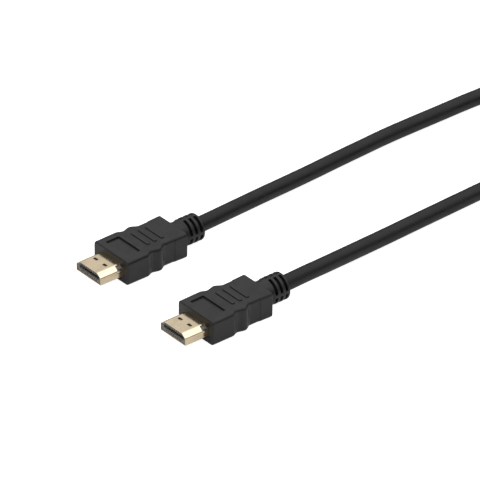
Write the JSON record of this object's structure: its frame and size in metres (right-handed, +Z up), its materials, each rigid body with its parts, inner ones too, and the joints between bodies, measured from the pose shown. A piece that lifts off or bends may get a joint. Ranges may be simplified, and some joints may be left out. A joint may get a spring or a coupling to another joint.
{
  "type": "hdmi cable",
  "caption": "Flat-lying audio-video cable: a round black cable with a moulded plug on each end, each with a plated shell, a contact carrier and a slotted strain relief.",
  "frame": {"origin": "on the floor, in the middle of the outline of the two plugs", "axes": "+X along the plugs, from their tips to the cable; +Y across, from plug b to plug a; +Z up"},
  "size_m": [0.2921, 0.0926, 0.0131],
  "materials": {
    "moulding": "satin black vinyl, finely grained",
    "cable": "satin black jacket, smooth",
    "shell": "pale gold plating over folded steel",
    "carrier": "matte black",
    "contact": "bright gold plating",
    "tie": "black film over a thin wire"
  },
  "bodies": {
    "root": {"plug_moulding_a": "moulding", "plug_shell_a": "shell", "contact_carrier_a": "carrier", "contact_a_upper_1": "contact", "contact_a_upper_2": "contact", "contact_a_upper_3": "contact", "contact_a_upper_4": "contact", "contact_a_upper_5": "contact", "contact_a_upper_6": "contact", "contact_a_upper_7": "contact", "contact_a_upper_8": "contact", "contact_a_upper_9": "contact", "contact_a_upper_10": "contact", "contact_a_lower_1": "contact", "contact_a_lower_2": "contact", "contact_a_lower_3": "contact", "contact_a_lower_4": "contact", "contact_a_lower_5": "contact", "contact_a_lower_6": "contact", "contact_a_lower_7": "contact", "contact_a_lower_8": "contact", "contact_a_lower_9": "contact", "plug_moulding_b": "moulding", "plug_shell_b": "shell", "contact_carrier_b": "carrier", "contact_b_upper_1": "contact", "contact_b_upper_2": "contact", "contact_b_upper_3": "contact", "contact_b_upper_4": "contact", "contact_b_upper_5": "contact", "contact_b_upper_6": "contact", "contact_b_upper_7": "contact", "contact_b_upper_8": "contact", "contact_b_upper_9": "contact", "contact_b_upper_10": "contact", "contact_b_lower_1": "contact", "contact_b_lower_2": "contact", "contact_b_lower_3": "contact", "contact_b_lower_4": "contact", "contact_b_lower_5": "contact", "contact_b_lower_6": "contact", "contact_b_lower_7": "contact", "contact_b_lower_8": "contact", "contact_b_lower_9": "contact", "cable_lead_a": "cable", "cable_lead_b": "cable", "cable_coil": "cable", "coil_tie_a": "tie", "coil_tie_b": "tie"}
  },
  "joints": []
}
